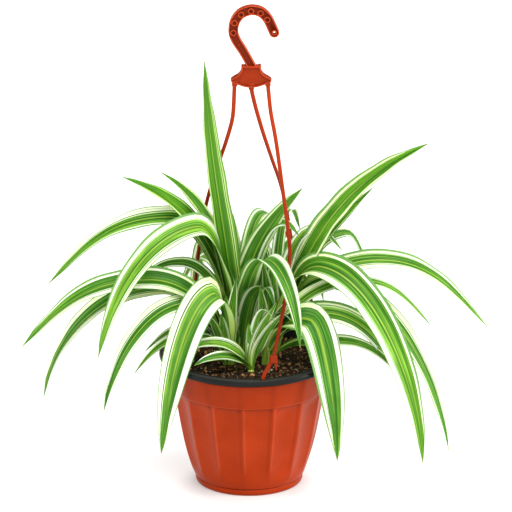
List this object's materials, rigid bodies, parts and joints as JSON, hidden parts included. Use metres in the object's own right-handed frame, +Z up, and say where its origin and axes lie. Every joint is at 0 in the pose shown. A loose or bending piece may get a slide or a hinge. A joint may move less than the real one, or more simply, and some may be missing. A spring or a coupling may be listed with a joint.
{
  "type": "potted spider plant",
  "caption": "Variegated strap-leaved house plant in a fluted terracotta-coloured plastic pot, standing, with a red-brown three-strand plastic hanger and hook.",
  "frame": {"origin": "centre of the pot's base, on the surface it stands on", "axes": "+Z up through the pot towards the hook, +X to the right and +Y away from the viewer in the reference picture"},
  "size_m": [0.5171, 0.343, 0.5551],
  "materials": {
    "pot_plastic": "satin",
    "rim_plastic": "satin",
    "potting_soil": "rough",
    "leaf": "satin",
    "hanger_plastic": "satin"
  },
  "bodies": {
    "root": {"pot_shell": "pot_plastic", "pot_rim": "rim_plastic", "soil": "potting_soil", "rosette_left": "leaf", "rosette_middle": "leaf", "rosette_front": "leaf", "rosette_right": "leaf", "rosette_back": "leaf", "hanger_hook": "hanger_plastic", "hanger_strand_front": "hanger_plastic", "hanger_strand_right": "hanger_plastic", "hanger_strand_left": "hanger_plastic"}
  },
  "joints": []
}
